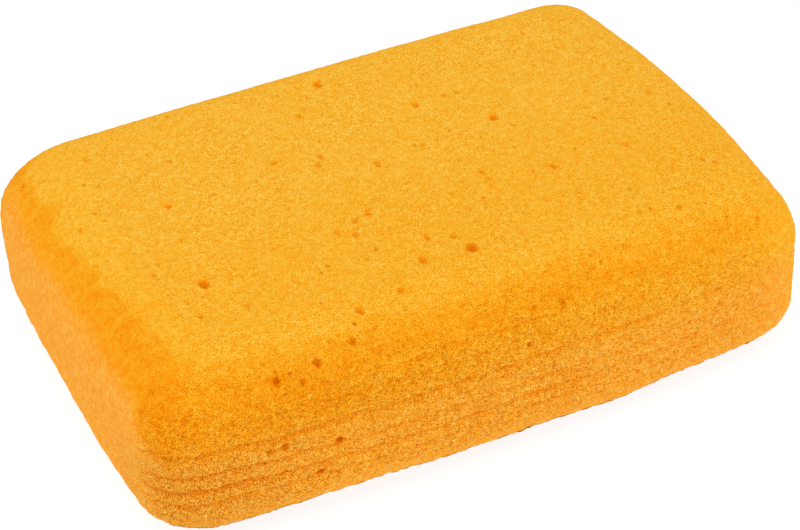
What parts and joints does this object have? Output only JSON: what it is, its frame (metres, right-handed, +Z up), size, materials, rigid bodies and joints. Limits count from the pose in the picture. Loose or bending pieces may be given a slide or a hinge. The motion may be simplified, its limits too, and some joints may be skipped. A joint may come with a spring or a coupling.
{
  "type": "grouting sponge",
  "caption": "Extra-large hand sponge for wiping and finishing tile grout: a rounded rectangular block of open-cell yellow-orange foam with rolled edges.",
  "frame": {"origin": "on the underside, below the middle of the block", "axes": "+X along the block's length, +Y across it towards the back, +Z up through its thickness"},
  "size_m": [0.1906, 0.1334, 0.0508],
  "materials": {
    "foam": "matte open-cell foam"
  },
  "bodies": {
    "root": {"foam_block": "foam"}
  },
  "joints": []
}
